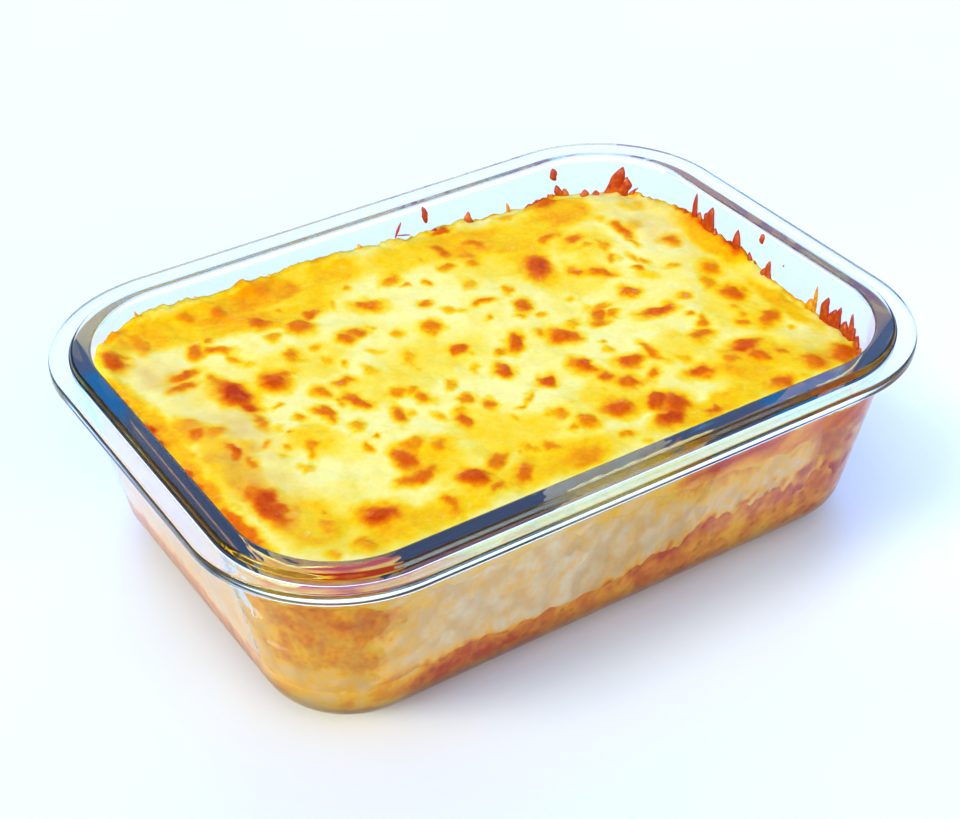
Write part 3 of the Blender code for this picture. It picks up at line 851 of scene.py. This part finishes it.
# Burnt tongues and splashes on the far walls: where on the wall (x, y), lower and upper
# height, half width, sideways lean of the tip (anticlockwise seen from above), toast
TONGUES = [
    (90, 26.0, 47.0, 56.2, 1.3, 1.3, 0.98), (90, 23.6, 47.0, 51.6, 1.5, 0.4, 0.88),
    (90, 18.2, 45.8, 55.2, 2.2, 1.5, 1.00), (90, 20.4, 46.0, 52.6, 1.8, 0.8, 0.96),
    (90, 16.2, 45.0, 50.0, 1.9, 0.0, 0.94), (90, 6.0, 44.6, 53.6, 1.9, 1.5, 1.00),
    (90, 7.8, 44.6, 50.4, 1.6, 0.4, 0.92), (90, 4.2, 44.6, 49.4, 1.4, 0.4, 0.96),
    (90, -0.6, 45.0, 49.6, 1.2, 1.6, 0.98), (90, -2.0, 45.0, 48.2, 1.6, 0.6, 0.94),
    (90, -8.2, 44.2, 50.8, 1.4, 0.9, 0.98), (90, -6.8, 44.0, 48.2, 1.7, 0.6, 0.90),
    (90, -27.6, 43.8, 52.4, 0.8, 1.2, 0.62), (90, -26.2, 44.0, 48.2, 2.0, 0.5, 0.60),
    (90, -32.4, 42.8, 51.4, 1.9, 1.3, 1.00), (90, -35.0, 42.4, 49.6, 2.2, 0.4, 0.98),
    (90, -37.2, 42.4, 51.0, 1.8, 0.8, 1.00), (89, -40.0, 42.0, 48.4, 2.4, 0.3, 0.98),
    (88, -43.0, 42.0, 51.6, 1.4, 1.8, 1.00), (88, -44.4, 42.0, 48.8, 2.2, 0.6, 0.96),
    (87, -46.6, 42.0, 48.0, 2.6, 0.0, 0.94), (85, -49.8, 41.8, 46.8, 2.4, 0.0, 0.88),
    (81.6, 55.4, 45.0, 54.8, 2.5, -3.0, 0.99), (83, 52.8, 44.8, 52.0, 2.3, -2.0, 0.94),
    (84.6, 51.0, 45.0, 49.4, 0.9, -2.6, 0.95),
    (66.6, 61, 46.0, 50.4, 1.5, 0.1, 0.90), (68.8, 61, 46.0, 48.8, 1.7, 0.4, 0.80),
    (63.6, 61, 45.6, 48.4, 1.8, 0.0, 0.78), (58.8, 61, 45.4, 47.9, 2.2, -0.6, 0.92),
    (56.0, 61, 45.0, 47.4, 2.0, -0.8, 0.96), (49.0, 61, 46.0, 50.0, 0.7, 0.3, 0.60),
    (34.5, 61, 46.0, 51.2, 1.7, -0.6, 0.84), (18.6, 61, 47.0, 49.2, 2.0, -1.6, 0.90),
    (22.4, 61, 47.0, 49.6, 2.4, -1.2, 0.92), (25.6, 61, 47.0, 49.2, 1.5, -1.2, 0.90),
    (73.6, 58, 45.0, 47.6, 1.6, -0.6, 0.90), (77.4, 57, 45.0, 47.2, 1.5, 0.0, 0.86),
    (-30.0, 62, 49.6, 52.4, 1.0, 0.4, 0.40), (-52.0, 62, 50.0, 52.8, 1.1, 0.5, 0.44),
    (-70.0, 62, 50.8, 54.6, 0.7, 0.5, 0.50), (-2.0, 62, 49.8, 52.4, 0.9, -0.4, 0.46),
]
# Splashes that touch nothing below them, given in the same way
SPLASHES = [
    (20.9, 62, 51.9, 57.3, 0.85, 0.8, 1.00), (65.6, 62, 52.0, 55.8, 1.2, 0.0, 1.00),
    (90, -2.6, 54.0, 57.0, 0.85, 0.2, 1.00), (90, -12.6, 51.6, 52.2, 0.25, 0.0, 0.90),
    (15.0, 62, 50.0, 51.2, 0.55, 4.4, 1.00), (10.4, 62, 50.5, 54.6, 0.42, -2.4, 1.00),
]


def wall_frame(x, y):
    """Corner centre and outward direction of the wall nearest to a point."""
    cx, cy = max(-CORNER_X, min(CORNER_X, x)), max(-CORNER_Y, min(CORNER_Y, y))
    ox, oy = x - cx, y - cy
    length = math.hypot(ox, oy)
    return cx, cy, ox / length, oy / length


TONGUE_THICK = 0.8
TONGUE_STANDS_OUT = 0.55


def tongue_rings(x, y, low, high, half_width, lean, pointed, seed):
    """Closed flattened drop lying on the wall, its back just in the glass."""
    cx, cy, ox, oy = wall_frame(x, y)
    t = np.linspace(0.0, 1.0, TONGUE_ROWS)
    z = low + (high - low) * t
    if pointed:
        width = half_width * np.clip(1.0 - t ** 2.4, 0.02, 1) ** 0.62
    else:
        width = half_width * np.sqrt(np.clip(1.0 - (2.0 * t - 1.0) ** 2, 0.01, 1))
    width = width * (1.0 + 0.16 * noise(t * 4.0, seed * 3.7, 0.0, 130))
    aside = lean * t ** 1.4 + 0.28 * half_width * noise(t * 3.0, seed * 5.1, 0.0, 131)
    thick = np.minimum(0.5 * width + 0.12, TONGUE_THICK)
    angles = np.linspace(0.0, 2.0 * math.pi, TONGUE_AROUND, endpoint=False)
    along = aside[:, None] + width[:, None] * np.cos(angles)
    inward = thick[:, None] * (np.sin(angles) + TONGUE_STANDS_OUT)
    radius = wall_radius(z)[:, None] - inward
    px = cx + radius * ox - along * oy
    py = cy + radius * oy + along * ox
    return np.stack([px, py, np.broadcast_to(z[:, None], px.shape)], axis=2)


def build_burnt_tongues():
    """All tongues and splashes in one piece; a tongue is paler toward its foot."""
    points, faces, toasts = [], [], []
    share = np.repeat(np.linspace(0.0, 1.0, TONGUE_ROWS), TONGUE_AROUND)
    foot = 1.0 - smooth_step(share, 0.0, 0.45)
    start = 0
    kinds = [(row, True) for row in TONGUES] + [(row, False) for row in SPLASHES]
    for seed, (row, pointed) in enumerate(kinds):
        rings = tongue_rings(*row[:-1], pointed, seed)
        for a, b, c, d in ring_faces(TONGUE_ROWS, TONGUE_AROUND):
            faces.append((start + d, start + c, start + b, start + a))
        faces.append(tuple(range(start, start + TONGUE_AROUND)))
        last = start + (TONGUE_ROWS - 1) * TONGUE_AROUND
        faces.append(tuple(reversed(range(last, last + TONGUE_AROUND))))
        points.append(rings.reshape(-1, 3))
        toasts.append(row[-1] - 0.28 * foot * pointed)
        start += TONGUE_ROWS * TONGUE_AROUND
    piece = make_piece("burnt_tongues", np.concatenate(points), faces, burnt_cheese())
    add_field(piece, "toast", np.concatenate(toasts))
    return piece


# ---------------------------------------------------------------- layers below

def sauce_hem(x, y):
    """Height along the glass where the sauce ends, with fingers up into the pasta."""
    level = SAUCE_LEVEL + SAUCE_RISE * smooth_step(x, -12.0, 25.0)
    fingers = 4.6 * np.clip(fractal(x, y, 0.0, 3.8, 2, 104) + 0.1, -0.4, 1)
    wave = uneven(x, y, (1.2, 12.0, 2, 100), (0.9, 2.6, 2, 102))
    return (level + fingers * smooth_step(x, 0.0, 14.0) + wave
            - 1.5 * mound(x, y, -86, -60, 20, 20))


def build_layer(name, low, high, set_back, rows, material, field):
    """Closed layer along the glass from height low to high, its middle a cap."""
    size = len(low)
    rings = [wall_points(low, set_back, MIDDLE_INSET)]
    for row in range(rows + 1):
        rings.append(wall_points(low + (high - low) * row / rows, set_back))
    rings.append(wall_points(high, set_back, MIDDLE_INSET))
    points = np.concatenate(rings)
    faces = ring_faces(len(rings), size)
    faces.append(tuple(reversed(range(size))))
    last = (len(rings) - 1) * size
    faces.append(tuple(range(last, last + size)))
    piece = make_piece(name, points, faces, material)
    add_field(piece, "warm", field(points))
    return piece


def pasta_warmth(points):
    """Colour of the pasta against the glass, from 0 cream to 1 red-brown."""
    x, y, z = points[:, 0], points[:, 1], points[:, 2]
    warm = 0.12 + 0.07 * fractal(x, y, z, 9.0, 3, 110) + front_patches(x, y, z, PASTA_PATCHES)
    golden = smooth_step(mound(x, y, -88, -62, 26, 24), 0.08, 0.7)
    warm = warm + 0.33 * golden
    speckled = 0.28 + 0.48 * fractal(x, y, z, 2.6, 2, 113)
    warm = warm + speckled * mound(x, z, 48, 25.5, 18, 3.4, 8) * on_front(y)
    right_corner = smooth_step(mound(x, y, 84, -60, 27, 18), 0.12, 0.6)
    warm = warm + right_corner * (0.50 + 0.30 * fractal(x, y, z, 4.5, 2, 117))
    right_wall = on_right(x) * smooth_step(y, -45.0, -38.0)
    warm = warm + right_wall * (0.42 + 0.28 * fractal(x, y, z, 11.0, 2, 115))
    left_wall = on_right(-x) * smooth_step(y, -46.0, -34.0)
    warm = warm + left_wall * (0.12 + 0.18 * fractal(x, y, z, 9.0, 2, 116))
    warm = warm + 0.16 * on_back(y)
    above_sauce = z - sauce_hem(x, y)
    mottled = np.clip(0.6 + 1.2 * fractal(x, y, z, 3.2, 2, 112), 0, 1)
    stained = 0.42 * mottled * (1.0 - smooth_step(above_sauce, 0.3, 4.0))
    stained = stained + 0.22 * (1.0 - smooth_step(above_sauce, 0.0, 1.4))
    return np.clip(warm + stained * (1.0 - golden), 0, 1)


def sauce_warmth(points):
    """Colour of the sauce against the glass, on the pasta's scale."""
    x, y, z = points[:, 0], points[:, 1], points[:, 2]
    warm = 0.60 + 0.10 * fractal(x, y, z, 8.0, 3, 120) + front_patches(x, y, z, SAUCE_PATCHES)
    warm = warm - 0.26 * smooth_step(mound(x, y, -84, -62, 30, 26), 0.1, 0.7)
    top = 1.0 - smooth_step(sauce_hem(x, y) - z, 0.5, 4.5)
    warm = warm + 0.10 * top * smooth_step(x, 0.0, 14.0) * on_front(y)
    warm = warm - 0.12 * smooth_step(x, 55.0, 80.0)
    return np.clip(warm, 0, 1)


def build_pasta():
    """The pasta layer, which runs a little into the sauce and the cheese."""
    unit = outline(FOOD_CORNER_RADIUS, ARC_STEPS, LONG_STEPS, SHORT_STEPS)
    low = sauce_hem(unit[:, 0], unit[:, 1]) - LAYER_OVERLAP
    high = cheese_hem(unit[:, 0], unit[:, 1]) + LAYER_OVERLAP
    return build_layer("pasta_filling", low, high, PASTA_SET_BACK, PASTA_ROWS,
                       pasta_in_white_sauce(), pasta_warmth)


def build_sauce():
    """The sauce layer, which reaches just into the floor of the dish."""
    unit = outline(FOOD_CORNER_RADIUS, ARC_STEPS, LONG_STEPS, SHORT_STEPS)
    high = sauce_hem(unit[:, 0], unit[:, 1])
    low = np.full(len(high), FLOOR_THICK - INTO_FLOOR)
    return build_layer("meat_sauce", low, high, 0.0, SAUCE_ROWS, tomato_meat_sauce(),
                       sauce_warmth)


# ---------------------------------------------------------------- staging

CAMERA_AZIMUTH = -32.76
CAMERA_ELEVATION = 35.55
CAMERA_ROLL = -0.63
CAMERA_DISTANCE = 524.0
CAMERA_ASIDE = -1.9
CAMERA_ABOVE = 25.7
CAMERA_LENS = 71.07

# The room: cool above, and dimmer and warmer below the horizon
ROOM_COLOUR = (0.40, 0.62, 0.88, 1.0)
HORIZON_COLOUR = (0.30, 0.24, 0.17, 1.0)
HORIZON_TOP = 0.20
# A broad pale window in front, and a bluer softbox behind on the right
WINDOW_COLOUR = (1.08, 1.04, 1.10, 1.0)
WINDOW_DIRECTION = (-0.30, -0.94, 0.15)
WINDOW_EDGE = -0.10
WINDOW_CORE = 0.85
SOFTBOX_COLOUR = (1.7, 2.50, 4.80, 1.0)
SOFTBOX_DIRECTION = (0.44, 0.684, 0.581)
SOFTBOX_EDGE = 0.86
SOFTBOX_CORE = 0.96
# Small blue windows that the lip mirrors, by direction
PANES = [(0.271, 0.78, 0.564), (0.307, 0.706, 0.638), (0.578, 0.59, 0.564)]
PANE_COLOUR = (0.5, 3.4, 8.5, 1.0)
PANE_EDGE = 0.9998
PANE_CORE = 0.99993
# Soft suns: from the left and from the front
KEY_FROM = (-0.96, 0.20, 0.96)
KEY_SPREAD = 22.0
KEY_STRENGTH = 2.1
KEY_COLOUR = (1.0, 0.82, 0.50)
FRONT_FROM = (-0.25, -1.0, 0.45)
FRONT_SPREAD = 80.0
FRONT_STRENGTH = 1.1
FRONT_COLOUR = (1.0, 0.82, 0.50)

FLOOR_HALF = 3.0
FLOOR_GAP = 0.0002

# Below 1 for strong contrast
VIEW_GAMMA = 0.88


def place_camera():
    """Camera at the given angles round the middle of the dish's base, a little aside."""
    a, e = math.radians(CAMERA_AZIMUTH), math.radians(CAMERA_ELEVATION)
    back = Vector((math.sin(a) * math.cos(e), -math.cos(a) * math.cos(e), math.sin(e)))
    right = Vector((math.cos(a), math.sin(a), 0.0))
    up = back.cross(right)
    roll = math.radians(CAMERA_ROLL)
    right, up = (right * math.cos(roll) + up * math.sin(roll),
                 up * math.cos(roll) - right * math.sin(roll))
    data = bpy.data.cameras.new("camera")
    data.lens = CAMERA_LENS
    data.sensor_width = 36.0
    data.clip_start = 0.01
    camera = bpy.data.objects.new("camera", data)
    place = back * CAMERA_DISTANCE + right * CAMERA_ASIDE + up * CAMERA_ABOVE
    turn = Matrix((right, up, back)).transposed().to_4x4()
    camera.matrix_world = Matrix.Translation(place * MM) @ turn
    bpy.context.scene.collection.objects.link(camera)
    bpy.context.scene.camera = camera


def studio_world():
    """Cool room over a dim horizon, with a window, a softbox and three small panes."""
    world = bpy.data.worlds.new("studio")
    world.use_nodes = True
    tree = world.node_tree
    direction = tree.nodes.new("ShaderNodeTexCoord").outputs["Generated"]

    def glow(centre, edge, core, around, inside):
        """Colour that turns from around to inside where the direction nears the centre."""
        toward = tree.nodes.new("ShaderNodeVectorMath")
        toward.operation = "DOT_PRODUCT"
        toward.inputs[1].default_value = centre
        tree.links.new(direction, toward.inputs[0])
        near = tree.nodes.new("ShaderNodeMapRange")
        near.interpolation_type = "SMOOTHSTEP"
        near.inputs["From Min"].default_value = edge
        near.inputs["From Max"].default_value = core
        tree.links.new(toward.outputs["Value"], near.inputs["Value"])
        mix = tree.nodes.new("ShaderNodeMix")
        mix.data_type = "RGBA"
        tree.links.new(near.outputs[0], mix.inputs[0])
        if isinstance(around, bpy.types.NodeSocket):
            tree.links.new(around, mix.inputs[6])
        else:
            mix.inputs[6].default_value = around
        mix.inputs[7].default_value = inside
        return mix.outputs[2]

    room = glow((0.0, 0.0, 1.0), 0.0, HORIZON_TOP, HORIZON_COLOUR, ROOM_COLOUR)
    room = glow(WINDOW_DIRECTION, WINDOW_EDGE, WINDOW_CORE, room, WINDOW_COLOUR)
    light = glow(SOFTBOX_DIRECTION, SOFTBOX_EDGE, SOFTBOX_CORE, room, SOFTBOX_COLOUR)
    for pane in PANES:
        light = glow(pane, PANE_EDGE, PANE_CORE, light, PANE_COLOUR)
    tree.links.new(light, tree.nodes["Background"].inputs["Color"])
    return world


def add_sun(name, source, spread, strength, colour):
    """Distant soft light from the direction source, spread over an angle in degrees."""
    data = bpy.data.lights.new(name, "SUN")
    data.angle = math.radians(spread)
    data.energy = strength
    data.color = colour
    light = bpy.data.objects.new(name, data)
    light.rotation_euler = Vector(source).to_track_quat("Z", "Y").to_euler()
    bpy.context.scene.collection.objects.link(light)


def build_stage():
    """Floor, light and view settings."""
    mesh = bpy.data.meshes.new("floor")
    corners = [(-1, -1), (1, -1), (1, 1), (-1, 1)]
    mesh.from_pydata([(FLOOR_HALF * x, FLOOR_HALF * y, 0) for x, y in corners], [],
                     [(0, 1, 2, 3)])
    mesh.materials.append(pale_floor())
    floor = bpy.data.objects.new("floor", mesh)
    floor.location.z = cad_low.z - FLOOR_GAP
    bpy.context.scene.collection.objects.link(floor)

    bpy.context.scene.world = studio_world()
    add_sun("key", KEY_FROM, KEY_SPREAD, KEY_STRENGTH, KEY_COLOUR)
    add_sun("front_fill", FRONT_FROM, FRONT_SPREAD, FRONT_STRENGTH, FRONT_COLOUR)

    scene = bpy.context.scene
    scene.view_settings.view_transform = "Standard"
    scene.view_settings.gamma = VIEW_GAMMA
    scene.cycles.max_bounces = 16
    scene.cycles.glossy_bounces = 12
    scene.cycles.transmission_bounces = 14
    scene.cycles.transparent_max_bounces = 12


def main():
    place_camera()
    build_stage()
    pieces = [
        (build_dish(), "glass_dish", "clear_glass"),
        (build_sauce(), "sauce_layer", "tomato_meat_sauce"),
        (build_pasta(), "pasta_layer", "pasta_white_sauce"),
        (build_cheese(), "cheese_layer", "browned_cheese"),
    ]
    for piece, node, slot in pieces:
        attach(piece, "root")
        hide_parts(node)
    tongues = build_burnt_tongues()
    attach(tongues, "root")


main()
